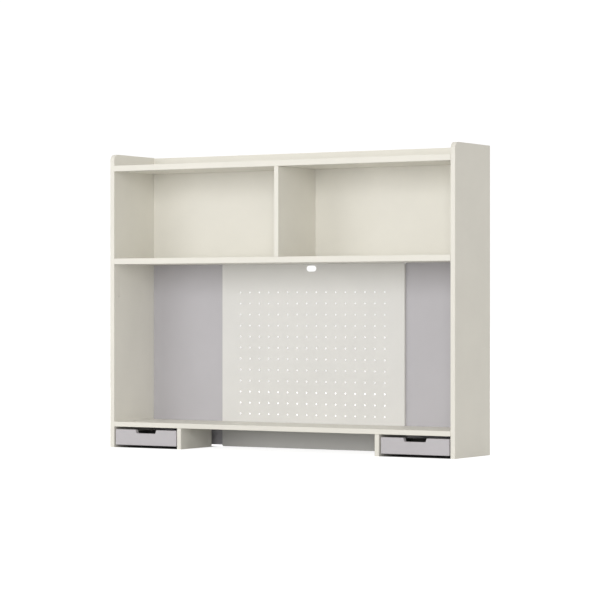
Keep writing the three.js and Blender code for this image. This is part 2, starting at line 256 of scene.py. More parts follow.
def node_group(name, inputs, outputs, fill):
    """A shader node group. inputs maps a name to its default; fill(wiring, inputs) gives the outputs."""
    if name in bpy.data.node_groups:
        return
    tree = bpy.data.node_groups.new(name, "ShaderNodeTree")
    for key, value in inputs.items():
        kind = "NodeSocketVector" if isinstance(value, tuple) else "NodeSocketFloat"
        tree.interface.new_socket(name=key, in_out="INPUT", socket_type=kind).default_value = value
    for key in outputs:
        tree.interface.new_socket(name=key, in_out="OUTPUT", socket_type="NodeSocketFloat")
    wiring = Wiring(tree)
    entry = tree.nodes.new("NodeGroupInput")
    leave = tree.nodes.new("NodeGroupOutput")
    for key, value in zip(outputs, fill(wiring, entry.outputs)):
        tree.links.new(value, leave.inputs[key])


def fill_edge_wear(w, given):
    """The second smallest distance from a point on a box to the box's six planes is its distance to
    the nearest edge. The mask is one there and fades over Width, broken up by noise."""
    place = w.place()
    inside = w.vector("MINIMUM", w.vector("SUBTRACT", place, given["Low"]),
                      w.vector("SUBTRACT", given["High"], place))
    x, y, z = w.parts(inside)
    second = w.math("MAXIMUM", w.math("MINIMUM", x, y), w.math("MINIMUM", w.math("MAXIMUM", x, y), z))
    patch = w.noise(place, 34.0, 5.0, 0.65)
    reach = w.times(given["Width"], w.fade(patch, 0.35, 0.7, 0.25, 1.5))
    return [w.times(w.fade(second, 0.0, reach, 1.0, 0.0), w.fade(patch, 0.3, 0.6, 0.35, 1.0))]


def fill_foil(w, given):
    """Pressed foil on board: a very fine tooth, a slow waviness of the board below and a faint
    cloudiness of the print."""
    place = w.place()
    tooth = w.noise(place, w.math("DIVIDE", 1.0, given["Tooth"]), 3.0, 0.6)
    wave = w.noise(place, 16.0, 1.0, 0.4)
    cloud = w.noise(place, 5.0, 4.0, 0.6)
    height = w.math("ADD", w.times(tooth, 0.35), wave)
    return [height, cloud, tooth]


def fill_band(w, given):
    """A hair line across the faces that run back from the front edge, one band's thickness behind it."""
    depth = w.math("SUBTRACT", w.parts(w.place())[1], given["Front"])
    gap = w.math("ABSOLUTE", w.math("SUBTRACT", depth, given["Thickness"]))
    return [w.fade(gap, 0.00005, 0.00022, 1.0, 0.0)]


def fill_dust(w, given):
    """Dust lies where the surface looks up, in soft patches."""
    up = w.parts(w.node("ShaderNodeNewGeometry").outputs["Normal"])[2]
    patch = w.noise(w.place(), 22.0, 6.0, 0.7)
    lying = w.times(w.fade(up, 0.6, 0.95), w.fade(patch, 0.35, 0.7, 0.2, 1.0))
    return [w.math("MULTIPLY", lying, given["Amount"], use_clamp=True)]


def fill_powder(w, given):
    """Powder coat: an orange-peel surface of shallow cells with a finer grit on it."""
    place = w.place()
    peel = w.noise(place, w.math("DIVIDE", 1.0, given["Cell"]), 2.0, 0.45)
    grit = w.noise(place, w.math("DIVIDE", 4.5, given["Cell"]), 2.0, 0.5)
    cloud = w.noise(place, 7.0, 3.0, 0.55)
    return [w.math("ADD", peel, w.times(grit, 0.25)), cloud]


def fill_drawn(w, given):
    """Drawn and plated steel: streaks along Y with the soft spangle of the zinc over them."""
    streak = w.noise(w.stretched((1400.0, 14.0, 1400.0)), 1.0, 4.0, 0.6)
    cells = w.node("ShaderNodeTexVoronoi", {"Vector": w.place(), "Scale": 340.0})
    spangle = w.parts(cells.outputs["Color"])[0]
    rub = w.noise(w.stretched((120.0, 30.0, 120.0)), 1.0, 4.0, 0.7)
    return [streak, spangle, rub]


def fill_touch(w, given):
    """Finger marks: a round patch about Centre, mirrored to both sides of the middle, in blots."""
    x, y, z = w.parts(w.place())
    mirrored = w.node("ShaderNodeCombineXYZ", {"X": w.math("ABSOLUTE", x), "Y": y, "Z": z}).outputs[0]
    gone = w.node("ShaderNodeVectorMath", {0: mirrored, 1: given["Centre"]}, operation="DISTANCE")
    near = w.fade(gone.outputs["Value"], 0.0, given["Reach"], 1.0, 0.0)
    return [w.times(near, w.fade(w.noise(w.place(), 95.0, 4.0, 0.6), 0.4, 0.65))]


def make_groups():
    """Every shared effect, built once."""
    box = {"Low": (-1.0, -1.0, -1.0), "High": (1.0, 1.0, 1.0), "Width": 1.6 * MM}
    node_group("Edge Wear", box, ["Mask"], fill_edge_wear)
    node_group("Foil Surface", {"Tooth": 0.5 * MM}, ["Height", "Cloud", "Tooth"], fill_foil)
    node_group("Edge Band", {"Front": -0.111, "Thickness": 0.9 * MM}, ["Mask"], fill_band)
    node_group("Dust", {"Amount": 0.1}, ["Mask"], fill_dust)
    node_group("Powder Coat", {"Cell": 1.2 * MM}, ["Height", "Cloud"], fill_powder)
    node_group("Drawn Steel", {}, ["Streak", "Spangle", "Rub"], fill_drawn)
    node_group("Touch", {"Centre": (0.0, 0.0, 0.0), "Reach": 0.05}, ["Mask"], fill_touch)


# ---- Finishes ----


def rgba(value, gain=1.0):
    """A colour of three parts, times gain, with full alpha."""
    return (*[min(1.0, part * gain) for part in value], 1.0)


def tinted(value, tint):
    """A colour times a tint, part by part, with full alpha."""
    return rgba(part * by for part, by in zip(value, tint))


def start_material(name, **shader):
    """A material with one Principled shader whose constants sit on its own sockets."""
    material = bpy.data.materials.new(name)
    material.use_nodes = True
    wiring = Wiring(material.node_tree)
    principled = material.node_tree.nodes["Principled BSDF"]
    for key, value in shader.items():
        principled.inputs[key.replace("_", " ")].default_value = value
    return material, wiring, principled


def feed(w, shader, tone, roughness, height, depth):
    """Gives a shader its colour, roughness and a normal from a height of depth metres of relief."""
    relief = w.node("ShaderNodeBump", {"Height": height, "Distance": depth, "Strength": 1.0})
    for key, value in (("Base Color", tone), ("Roughness", roughness), ("Normal", relief.outputs[0])):
        w.put(value, shader.inputs[key])


def age(w, node_name):
    """The masks of rubbed edges and of dust on a node."""
    finishes = settings("finishes")
    low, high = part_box(node_name)
    wear = w.group("Edge Wear", Low=tuple(low), High=tuple(high), Width=finishes.wear_width)
    return wear["Mask"], w.group("Dust", Amount=finishes.dust)["Mask"]


def board_finish(name, node_name, base, rough, tooth, banded=True, touch=None):
    """Foil-faced board: cloudy print, fine tooth, band line at the front, rubbed edges and dust.
    The colour is the foil, darkened at the band line and by finger marks, lightened along the edges,
    which is wear and a painted highlight, and greyed by dust."""
    finishes = settings("finishes")
    material, w, shader = start_material(name, Specular_IOR_Level=0.42, IOR=1.47)
    foil = w.group("Foil Surface", Tooth=tooth)
    wear, dust = age(w, node_name)
    tone = w.mix(w.fade(foil["Cloud"], 0.3, 0.7), rgba(base, 0.975), rgba(base, 1.02))
    tone = w.mix(w.times(w.fade(foil["Tooth"], 0.35, 0.65), 0.25), tone, rgba(base, 0.95))
    if banded:
        front = float(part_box(node_name)[0].y)
        line = w.group("Edge Band", Front=front, Thickness=finishes.band)["Mask"]
        tone = w.mix(w.times(line, 0.3), tone, tinted(base, (0.7, 0.66, 0.6)))
    # lighter along the edges: wear, and a painted highlight on the eased edges
    edge_tone = tinted(base, (1.07, 1.06, 1.03))
    tone = w.mix(w.times(wear, finishes.wear), tone, edge_tone)
    tone = w.mix(dust, tone, DUST_TONE)
    roughness = w.fade(foil["Cloud"], 0.25, 0.75, rough - 0.04, rough + 0.05)
    roughness = w.math("SUBTRACT", roughness, w.times(wear, 0.12))
    roughness = w.math("ADD", roughness, w.times(dust, 0.6))
    if touch is not None:
        marks = w.group("Touch", Centre=touch, Reach=0.06)["Mask"]
        tone = w.mix(w.times(marks, 0.16), tone, tinted(base, (0.8, 0.78, 0.74)))
        roughness = w.math("SUBTRACT", roughness, w.times(marks, 0.16))
    feed(w, shader, tone, roughness, foil["Height"], 0.06 * MM)
    return material


def steel_finish(name, node_name, base):
    """Powder-coated steel: orange peel, cloudy gloss, painted shade in the hollows of the peel, the coat
    darker at the outer edges.
    """
    material, w, shader = start_material(name, Specular_IOR_Level=0.5, IOR=1.5)
    coat = w.group("Powder Coat", Cell=1.3 * MM)
    wear, dust = age(w, node_name)
    edge_tone = tinted(base, (0.88, 0.87, 0.85))
    tone = w.mix(w.fade(coat["Cloud"], 0.3, 0.7), rgba(base, 0.98), rgba(base, 1.015))
    # painted shade: the low points of the orange peel are darkened
    pits = w.fade(coat["Height"], 0.35, 0.6, 0.35, 0.0)
    tone = w.mix(pits, tone, rgba(base, 0.93))
    tone = w.mix(w.times(wear, settings("finishes").wear), tone, edge_tone)
    tone = w.mix(dust, tone, DUST_TONE)
    feed(w, shader, tone, w.fade(coat["Cloud"], 0.25, 0.75, 0.36, 0.46), coat["Height"], 0.05 * MM)
    return material


def zinc_finish(name, base):
    """Zinc-plated steel: streaks along Y, spangle in the colour, duller where it is rubbed."""
    material, w, shader = start_material(name, Metallic=1.0)
    drawn = w.group("Drawn Steel")
    tone = w.mix(w.fade(drawn["Spangle"], 0.2, 0.8), rgba(base, 0.9), tinted(base, (1.05, 1.06, 1.1)))
    tone = w.mix(w.fade(drawn["Rub"], 0.5, 0.75, 0.0, 0.5), tone, tinted(base, (0.78, 0.76, 0.72)))
    roughness = w.math("ADD", w.fade(drawn["Streak"], 0.3, 0.7, 0.26, 0.4),
                       w.fade(drawn["Rub"], 0.45, 0.75, 0.0, 0.14))
    feed(w, shader, tone, roughness, drawn["Streak"], 0.015 * MM)
    return material


def cast_finish(name, base):
    """Die-cast zinc: soft lumps, fine pits and a grey bloom."""
    material, w, shader = start_material(name, Metallic=1.0)
    place = w.place()
    lumps = w.noise(place, 420.0, 4.0, 0.6)
    bloom = w.noise(place, 90.0, 5.0, 0.7)
    pits = w.node("ShaderNodeTexVoronoi", {"Vector": place, "Scale": 900.0}).outputs["Distance"]
    height = w.math("ADD", lumps, w.fade(pits, 0.05, 0.3))
    tone = w.mix(w.fade(bloom, 0.35, 0.7), rgba(base), tinted(base, (0.78, 0.79, 0.82)))
    feed(w, shader, tone, w.fade(bloom, 0.3, 0.7, 0.38, 0.6), height, 0.04 * MM)
    return material


def finish_node(node_name, material):
    """Gives a carried-over node its material."""
    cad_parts[node_name].material_slots[0].material = material


def eased_board(node_name, material, body="root"):
    """Stands for a board with a copy of its solid whose triangles are merged into whole faces, and
    whose eased edges are shaded as one curve by weighting the normals with the faces' areas."""
    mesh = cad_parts[node_name].data.copy()
    mesh.name = f"{node_name}_eased"
    work = bmesh.new()
    work.from_mesh(mesh)
    bmesh.ops.remove_doubles(work, verts=work.verts, dist=FINE_WELD)
    bmesh.ops.dissolve_limit(work, angle_limit=math.radians(0.5), verts=work.verts, edges=work.edges)
    work.to_mesh(mesh)
    work.free()
    place_mesh(mesh, material, body, [node_name])


def zinc():
    """The one plated-steel material."""
    name = "zinc_plated_steel"
    return bpy.data.materials.get(name) or zinc_finish(name, settings("finishes").zinc)


# ---- Meshes ----


def unit(vectors):
    """Rows scaled to length one."""
    return vectors / np.maximum(np.linalg.norm(vectors, axis=1), 1e-12)[:, None]


def corner_arcs(corners, steps=CORNER_STEPS):
    """A closed outline whose corners are arcs. Each corner is (x, y, radius): the arc touches both
    edges, its centre lies on the corner's bisector at radius / sin(half angle)."""
    place = np.array([c[:2] for c in corners], float)
    radius = np.array([c[2] for c in corners], float)
    back = unit(np.roll(place, 1, 0) - place)
    ahead = unit(np.roll(place, -1, 0) - place)
    half = np.arccos(np.clip((back * ahead).sum(1), -1, 1)) / 2
    centre = place + unit(back + ahead) * (radius / np.sin(half))[:, None]
    touch = place + back * (radius / np.tan(half))[:, None] - centre
    last = place + ahead * (radius / np.tan(half))[:, None] - centre
    start = np.arctan2(touch[:, 1], touch[:, 0])
    sweep = (np.arctan2(last[:, 1], last[:, 0]) - start + np.pi) % (2 * np.pi) - np.pi
    angle = start[:, None] + sweep[:, None] * np.linspace(0, 1, steps)[None, :]
    ring = np.stack([np.cos(angle), np.sin(angle)], -1) * radius[:, None, None] + centre[:, None]
    return ring.reshape(-1, 2)


def outward(outline):
    """Mitred outward directions of a closed outline that runs anticlockwise."""
    ahead = unit(np.roll(outline, -1, 0) - outline)
    back = np.roll(ahead, 1, 0)
    after = np.stack([ahead[:, 1], -ahead[:, 0]], 1)
    before = np.stack([back[:, 1], -back[:, 0]], 1)
    return (before + after) / np.maximum(1 + (before * after).sum(1), 0.2)[:, None]


def wrapped_quads(rows, count, first=0):
    """Quads between neighbouring rows of a grid whose rows are closed rings of count points."""
    row, column = np.meshgrid(np.arange(rows - 1), np.arange(count), indexing="ij")
    after = (column + 1) % count
    corners = [row * count + column, row * count + after, (row + 1) * count + after,
               (row + 1) * count + column]
    return (np.stack(corners, -1).reshape(-1, 4) + first).tolist()


def slab(outline, low, high, edge, steps=4):
    """A plate of an outline between two heights with rounded rims. The profile carried round the
    outline is a quarter arc at each rim: inset is edge * (1 - sin t), rise is edge * (1 - cos t)."""
    t = np.linspace(0, np.pi / 2, steps + 1)
    inset = edge * (1 - np.sin(t))
    rise = edge * (1 - np.cos(t))
    insets = np.concatenate([inset, inset[::-1]])
    heights = np.concatenate([low + rise, high - rise[::-1]])
    flat = outline[None] - outward(outline)[None] * insets[:, None, None]
    tall = np.broadcast_to(heights[:, None, None], (*flat.shape[:2], 1))
    points = np.concatenate([flat, tall], -1).reshape(-1, 3)
    rows, count = len(insets), len(outline)
    faces = wrapped_quads(rows, count)
    faces.append(list(range(count))[::-1])
    faces.append(list(range((rows - 1) * count, rows * count)))
    return points, faces


def rings(radii, heights, turns):
    """Closed rings about an axis. Each of radii is a number or one value for each angle."""
    radii = np.stack([np.broadcast_to(np.asarray(r, float), turns.shape) for r in radii])
    flat = np.stack([np.cos(turns), np.sin(turns)], -1)[None] * radii[..., None]
    tall = np.broadcast_to(np.asarray(heights, float)[:, None, None], (*radii.shape, 1))
    points = np.concatenate([flat, tall], -1).reshape(-1, 3)
    return points, wrapped_quads(len(radii), len(turns))


def turned(shape, axes, origin):
    """A shape whose points are given along three directions, moved to an origin."""
    points, faces = shape
    return points @ np.array(axes, float) + np.array(origin, float), faces


def gather(parts):
    """Several (points, faces) as one."""
    points, faces, count = [], [], 0
    for part_points, part_faces in parts:
        points.append(part_points)
        faces += [[i + count for i in face] for face in part_faces]
        count += len(part_points)
    return np.concatenate(points), faces


def piece(name, shape, material, body="root", replaced=(), recalculate=True, weighted=True):
    """A new mesh object at the origin that rides on a body, with its doubles merged, smooth faces
    and, unless told otherwise, normals weighted by face area."""
    points, faces = shape
    mesh = bpy.data.meshes.new(name)
    mesh.from_pydata(points.tolist(), [], faces)
    work = bmesh.new()
    work.from_mesh(mesh)
    bmesh.ops.remove_doubles(work, verts=work.verts, dist=WELD)
    bmesh.ops.dissolve_degenerate(work, edges=work.edges, dist=FINE_WELD)
    if recalculate:
        bmesh.ops.recalc_face_normals(work, faces=work.faces)
    work.to_mesh(mesh)
    work.free()
    return place_mesh(mesh, material, body, replaced, weighted)


def add_object(name, data):
    """A new object in the scene."""
    made = bpy.data.objects.new(name, data)
    bpy.context.scene.collection.objects.link(made)
    return made


def place_mesh(mesh, material, body, replaced=(), weighted=True):
    """Puts a finished mesh into the scene as a smooth piece that rides on a body. Edges that turn
    by more than half a right angle stay sharp."""
    mesh.polygons.foreach_set("use_smooth", np.ones(len(mesh.polygons), bool))
    mesh.set_sharp_from_angle(angle=SHARP)
    mesh.materials.clear()
    mesh.materials.append(material)
    made = add_object(mesh.name, mesh)
    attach(made, body)
    if replaced:
        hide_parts(*replaced)
    if weighted:
        made.modifiers.new("Weighted Normal", "WEIGHTED_NORMAL").keep_sharp = True
    return made


# ---- Boards ----


def foil_boards(names, kind="cream", rough=0.46, tooth=0.5 * MM, banded=True, body="root"):
    """Foil of one kind on each named board, with its own edge wear."""
    base = getattr(settings("finishes"), kind)
    for name in names:
        material = board_finish(f"{kind}_{name}", name, base, rough, tooth, banded)
        eased_board(name, material, body)


# ---- Pegboard ----


def hole_cell(centre, half, radius, turns):
    """The front of one punched cell: a ring from the hole to the square round it. A point of the
    square lies at the hole point's angle, half / max(|cos|, |sin|) from the middle."""
    reach = half / np.maximum(np.abs(np.cos(turns)), np.abs(np.sin(turns)))
    points, faces = rings([reach, radius], [0, 0], turns)
    points[:, :2] += centre
    return points, faces


def side_points(low, high, half, turns):
    """Where the cells' rings meet one side of the field: every corner and every ring point."""
    facing = np.abs(np.cos(turns)) >= np.abs(np.sin(turns)) - 1e-9
    within = half * np.unique(np.round(np.tan(turns[facing]), 9))
    middles = np.arange(low + half, high, 2 * half)
    return np.unique(np.round((middles[:, None] + within[None]).ravel(), 9))


def folded_edge(start, end, out, bend, deep):
    """A flange along one side: points of the side carried down a quarter arc of the bend, out by
    bend * sin t and back by bend * (1 - cos t), and then straight back to the flange's edge."""
    t = np.linspace(0, np.pi / 2, CORNER_STEPS)
    away = np.append(bend * np.sin(t), bend)
    back = np.append(bend * (1 - np.cos(t)), deep)
    line = np.stack([start, end])
    grid = np.zeros((len(t) + 1, 2, 3))
    grid[..., :2] = line[None] + np.array(out)[None, None] * away[:, None, None]
    grid[..., 2] = back[:, None]
    count = np.arange(len(t))[:, None] * 2
    faces = (count + np.array([[0, 2, 3, 1]])).tolist()
    return grid.reshape(-1, 3), faces


def cable_outline(peg, split):
    """The left and right half of the cable hole, each from the split line's lower crossing with the
    hole to its upper one: straight out, round a half circle and back."""
    radius = peg.cable_height / 2
    reach = peg.cable_length / 2 - radius
    t = np.linspace(-np.pi / 2, np.pi / 2, 2 * CORNER_STEPS + 1)
    right = np.stack([reach + radius * np.cos(t), peg.cable_z + radius * np.sin(t)], 1)
    low, high = ([[split, peg.cable_z + end * radius]] for end in (-1, 1))
    return [np.concatenate([low, half, high]).tolist() for half in (right * [-1, 1], right)]


def pegboard_front(peg, low, high):
    """The flat front of the tray, in X and Z: a field of punched cells with plain margins round it.
    The margin above the field is split through the cable hole, so that neither half has a hole."""
    half = peg.pitch / 2
    turns = np.radians(15 + 30 * np.arange(12))
    columns = (np.arange(peg.columns) - (peg.columns - 1) / 2) * peg.pitch
    rows = peg.middle_z + (np.arange(peg.rows) - (peg.rows - 1) / 2) * peg.pitch
    cells = [hole_cell([x, z], half, peg.hole_radius, turns) for x in columns for z in rows]
    left, right = columns[0] - half, columns[-1] + half
    foot, top = rows[0] - half, rows[-1] + half
    across = side_points(left, right, half, turns)
    up = side_points(foot, top, half, turns)
    split = across[np.argmin(np.abs(across))]
    cable_left, cable_right = cable_outline(peg, split)

    def level(xs, z):
        return [[x, z] for x in xs]

    margins = [
        [low[:2].tolist(), [high[0], low[1]], [high[0], foot], *level(across[::-1], foot), [low[0], foot]],
        [[low[0], foot], *[[left, z] for z in up], [low[0], top]],
        [[high[0], top], *[[right, z] for z in up[::-1]], [high[0], foot]],
        [*level(across[across <= split], top), *cable_left, [split, high[1]],
         [low[0], high[1]], [low[0], top]],
        [[high[0], top], [high[0], high[1]], [split, high[1]], *cable_right[::-1],
         *level(across[across >= split], top)],
    ]
    flat = [(np.array([[*p, 0.0] for p in m]), [list(range(len(m)))]) for m in margins]
    return cells + flat, foot, top, split


def pegboard_shape(peg):
    """The outer skin of the folded tray: the punched front and a flange along each side."""
    box_low, box_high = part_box("pegboard_panel")
    bend, deep = peg.bend, box_high.y - box_low.y
    low = np.array([box_low.x + bend, box_low.z + bend])
    high = np.array([box_high.x - bend, box_high.z - bend])
    parts, foot, top, split = pegboard_front(peg, low, high)
    uprights = [low[1], foot, top, high[1]]
    crossings = [low[0], split, high[0]]
    folds = []
    for a, b in zip(uprights, uprights[1:]):
        folds.append(([low[0], b], [low[0], a], (-1, 0)))
        folds.append(([high[0], a], [high[0], b], (1, 0)))
    for a, b in zip(crossings, crossings[1:]):
        folds.append(([b, high[1]], [a, high[1]], (0, 1)))
    folds.append((low, [high[0], low[1]], (0, -1)))
    parts += [folded_edge(*fold, bend, deep) for fold in folds]
    return turned(gather(parts), [[1, 0, 0], [0, 0, 1], [0, 1, 0]], [0, box_low.y, 0])


# ---- Drawers ----


CLEARANCE = 0.3 * MM  # between a rail and the board it is fixed to
CUT_EDGE = 0.15 * MM  # rounding of the cut ends of rolled metal
SEAT = 1.3 * MM  # from the fixed board's face to the seat of a rail's screw
SCREW_FROM_FRONT, SCREW_FROM_REAR = 7 * MM, 4 * MM  # from a rail's ends to its screws
RAIL_SCREW_SCALE = 0.85  # against a screw of the back panels
BALLS_FROM_FLANGE = 1.2 * MM  # from a cage's upper or lower edge to its row of balls
BALLS_FROM_MOUTH = 1.8 * MM  # from a cage's open side to its balls


def front_outline(drawers, low, high):
    """A drawer front in X and Z: a rectangle with small round corners and a finger notch in its top
    edge, whose slanted ends meet its floor in arcs."""
    middle = (low.x + high.x) / 2
    mouth, floor_half = drawers.notch_top / 2, drawers.notch_bottom / 2
    floor_z = high.z - drawers.notch_deep
    radius, soft = drawers.corner, drawers.edge * 1.1
    return corner_arcs([
        (low.x, low.z, radius),
        (high.x, low.z, radius),
        (high.x, high.z, radius),
        (middle + mouth, high.z, soft),
        (middle + floor_half, floor_z, drawers.notch_radius),
        (middle - floor_half, floor_z, drawers.notch_radius),
        (middle - mouth, high.z, soft),
        (low.x, high.z, radius),
    ])


def channel_outline(near, far, half, metal):
    """A rolled channel in p, out from the fixed board's face, and q, up: its web at near, its mouth
    at far, and round folds."""
    fold, inner, tip = 1.6 * metal, 0.7 * metal, 0.3 * metal
    return corner_arcs([
        (near, -half, fold),
        (far, -half, tip),
        (far, -half + metal, tip),
        (near + metal, -half + metal, inner),
        (near + metal, half - metal, inner),
        (far, half - metal, tip),
        (far, half, tip),
        (near, half, fold),
    ], 5)


def ball_shape(centre, radius):
    """A ball as rings from pole to pole: ring radius is radius * sin t and height -radius * cos t."""
    t = np.linspace(0, np.pi, 9)
    points, faces = rings(radius * np.sin(t), -radius * np.cos(t), np.linspace(0, 2 * np.pi, 15)[:-1])
    return points + np.array(centre), faces


def cross_recess(turns, arm, slot):
    """The outline of a cross recess as a distance for each angle: the end of an arm at arm / cos,
    its flank at slot / |sin|, whichever is nearer, with the angle taken from the nearest arm."""
    off = (turns + np.pi / 4) % (np.pi / 2) - np.pi / 4
    return np.minimum(arm / np.cos(off), slot / np.maximum(np.abs(np.sin(off)), 1e-6))


def screw_shape(screws, scale=1.0):
    """A countersunk head about +Z: a cross recess in a low crown, a rim at the seat and the cone
    below it. Rings run from the recess's floor out over the crown and down to the cone's foot."""
    corner = math.atan(screws.slot / screws.arm)
    quarter = np.array([-corner, 0, corner, np.radians(25), np.radians(45), np.radians(65)])
    turns = np.concatenate([quarter + k * np.pi / 2 for k in range(4)])
    cross = cross_recess(turns, screws.arm, screws.slot)
    radius, proud = screws.radius, screws.proud
    radii = [1e-7, cross * 0.55, cross, cross * 0.9 + 0.1 * radius, 0.78 * radius, 0.95 * radius,
             radius, 0.97 * radius, 0.45 * radius, 1e-7]
    heights = [-screws.recess, -screws.recess, 0.82 * proud, proud, proud, 0.6 * proud,
               0.0, -screws.rim, -screws.cone, -screws.cone]
    points, faces = rings(radii, heights, turns)
    return points * scale, faces


def slide_frame(side, hand):
    """Where one slide sits: the directions of p, q and Y, a point on the fixed board's face, and the
    rail's box."""
    low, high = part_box(f"{side}_drawer_{hand}_slide_rail")
    sign = -1 if hand == "left" else 1
    wall = (low.x if sign < 0 else high.x) + sign * CLEARANCE
    axes = [[-sign, 0, 0], [0, 0, 1], [0, 1, 0]]
    return axes, [wall, 0, (low.z + high.z) / 2], low, high


def slide_member(node_name, metal, mouth_near=False):
    """A rail, runner or cage strip: its channel outline swept along Y over the node's own box. With
    mouth_near the channel opens towards the fixed board."""
    side, _, hand = node_name.split("_")[:3]
    axes, origin, _, _ = slide_frame(side, hand)
    low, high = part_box(node_name)
    reach = sorted(abs(x - origin[0]) for x in (low.x, high.x))
    half = (high.z - low.z) / 2
    outline = channel_outline(reach[0], reach[1], half, metal)
    if mouth_near:
        outline = outline[::-1] * [-1, 1] + [reach[0] + reach[1], 0]
    return turned(slab(outline, low.y, high.y, CUT_EDGE, 2), axes, origin)


def cage_balls(side, hand, drawers, low, high):
    """Two rows of balls along a cage, one at each flange."""
    axes, origin, _, _ = slide_frame(side, hand)
    reach = sorted(abs(x - origin[0]) for x in (low.x, high.x))
    along = low.y + (np.arange(drawers.balls) + 0.5) * (high.y - low.y) / drawers.balls
    level = (high.z - low.z) / 2 - BALLS_FROM_FLANGE
    parts = [ball_shape([reach[1] - BALLS_FROM_MOUTH, sign * level, y], drawers.ball)
             for y in along for sign in (-1, 1)]
    return turned(gather(parts), axes, origin)


def rail_screws(side, hand, screws):
    """Two screws through the web of a rail, near its ends."""
    axes, origin, low, high = slide_frame(side, hand)
    head, head_faces = screw_shape(screws, RAIL_SCREW_SCALE)
    parts = []
    for y in (low.y + SCREW_FROM_FRONT, high.y - SCREW_FROM_REAR):
        parts.append((np.stack([head[:, 2] + SEAT, head[:, 0], head[:, 1] + y], 1), head_faces))
    return turned(gather(parts), axes, origin)


# ---- Operators ----


FLOOR_REACH = 40.0
BACKDROP = 1.05  # how bright the white behind everything is
FRONT_FADE = 4 * MM  # over which the floor's painted shade in a drawer bay, where its glow is masked off, fades at the front
BAY_FADE = 10 * MM  # the same at the rear and the outer side
SCREW_TURN = 2.4  # radians between the recesses of neighbouring screws
LIGHTS = (  # name, the property that holds its power, place, size
    ("key_light", "key", (2.9, -7.3, 1.9), 4.0),
    ("left_light", "left", (-2.1, -3.4, 1.1), 2.0),
    ("right_light", "right", (4.5, 0.3, 1.1), 2.0),
    ("rear_light", "rear", (-2.4, 4.6, 2.2), 3.0),
)
CAMERA_PLACE = (3.9027, -6.4686, 0.4331)
CAMERA_SHIFT = (0.0011, 0.0117)
SENSOR = 36.0  # millimetres
CLIP_END = 200.0


class HutchOperator:
    """What every operator of this file shares: execute runs its own build step."""

    bl_options = {"REGISTER"}

    def execute(self, context):
        self.build(context)
        return {"FINISHED"}


class HUTCH_OT_side_panels(HutchOperator, bpy.types.Operator):
    """Give the two side panels their cream foil"""

    bl_idname = "hutch.side_panels"
    bl_label = "Side Panels"

    def build(self, context):
        foil_boards(UPRIGHTS)


class HUTCH_OT_shelves(HutchOperator, bpy.types.Operator):
    """Give the top board and the two shelves their cream foil"""

    bl_idname = "hutch.shelves"
    bl_label = "Shelves"

    def build(self, context):
        foil_boards(SHELVES)


class HUTCH_OT_dividers(HutchOperator, bpy.types.Operator):
    """Give the three dividers their cream foil"""

    bl_idname = "hutch.dividers"
    bl_label = "Dividers"

    def build(self, context):
        foil_boards(DIVIDERS)


class HUTCH_OT_back_panels(HutchOperator, bpy.types.Operator):
    """Give the cream and lilac back panels their foil"""

    bl_idname = "hutch.back_panels"
    bl_label = "Back Panels"

    def build(self, context):
        foil_boards(["upper_back_panel"], "cream", 0.5, 0.6 * MM, banded=False)
        foil_boards(LILAC_PANELS, "lilac", 0.52, 0.6 * MM, banded=False)


class HUTCH_OT_pegboard(HutchOperator, bpy.types.Operator):
    """Fold and punch the steel pegboard"""

    bl_idname = "hutch.pegboard"
    bl_label = "Pegboard"

    def build(self, context):
        peg = settings("pegboard")
        material = steel_finish("cream_powder_coat", "pegboard_panel", settings("finishes").steel)
        made = piece("pegboard_tray", pegboard_shape(peg), material,
                     replaced=["pegboard_panel"], recalculate=False, weighted=False)
        wall = made.modifiers.new("Sheet", "SOLIDIFY")
        wall.thickness, wall.offset, wall.use_even_offset = peg.sheet, -1, True
        lip = made.modifiers.new("Lip", "BEVEL")
        lip.width, lip.segments, lip.limit_method = peg.lip, 1, "ANGLE"
        lip.angle_limit = math.radians(50)
        made.modifiers.new("Weighted Normal", "WEIGHTED_NORMAL").keep_sharp = True


class HUTCH_OT_drawer_boxes(HutchOperator, bpy.types.Operator):
    """Give the drawer boxes their wrapped board, dark as painted shade for the inside of the drawers"""

    bl_idname = "hutch.drawer_boxes"
    bl_label = "Drawer Boxes"

    def build(self, context):
        for side in SIDES:
            names = [f"{side}_drawer_{part}" for part in BOX_PARTS]
            # the dark drawer foil is painted shade for the inside of the drawers
            foil_boards(names, "drawer", 0.55, 0.7 * MM, banded=False, body=f"{side}_drawer")


class HUTCH_OT_drawer_fronts(HutchOperator, bpy.types.Operator):
    """Shape the lilac drawer fronts with their finger notches"""

    bl_idname = "hutch.drawer_fronts"
    bl_label = "Drawer Fronts"

    def build(self, context):
        drawers = settings("drawers")
        base = settings("finishes").lilac_front
        for side in SIDES:
            name = f"{side}_drawer_front"
            low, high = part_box(name)
            points, faces = slab(front_outline(drawers, low, high), low.y, high.y, drawers.edge)
            points = points[:, [0, 2, 1]]
            touch = (abs(low.x + high.x) / 2, low.y, high.z - drawers.notch_deep)
            material = board_finish(f"lilac_{name}", name, base, 0.44, 0.5 * MM, touch=touch)
            piece(f"{name}_shaped", (points, faces), material, f"{side}_drawer", [name])


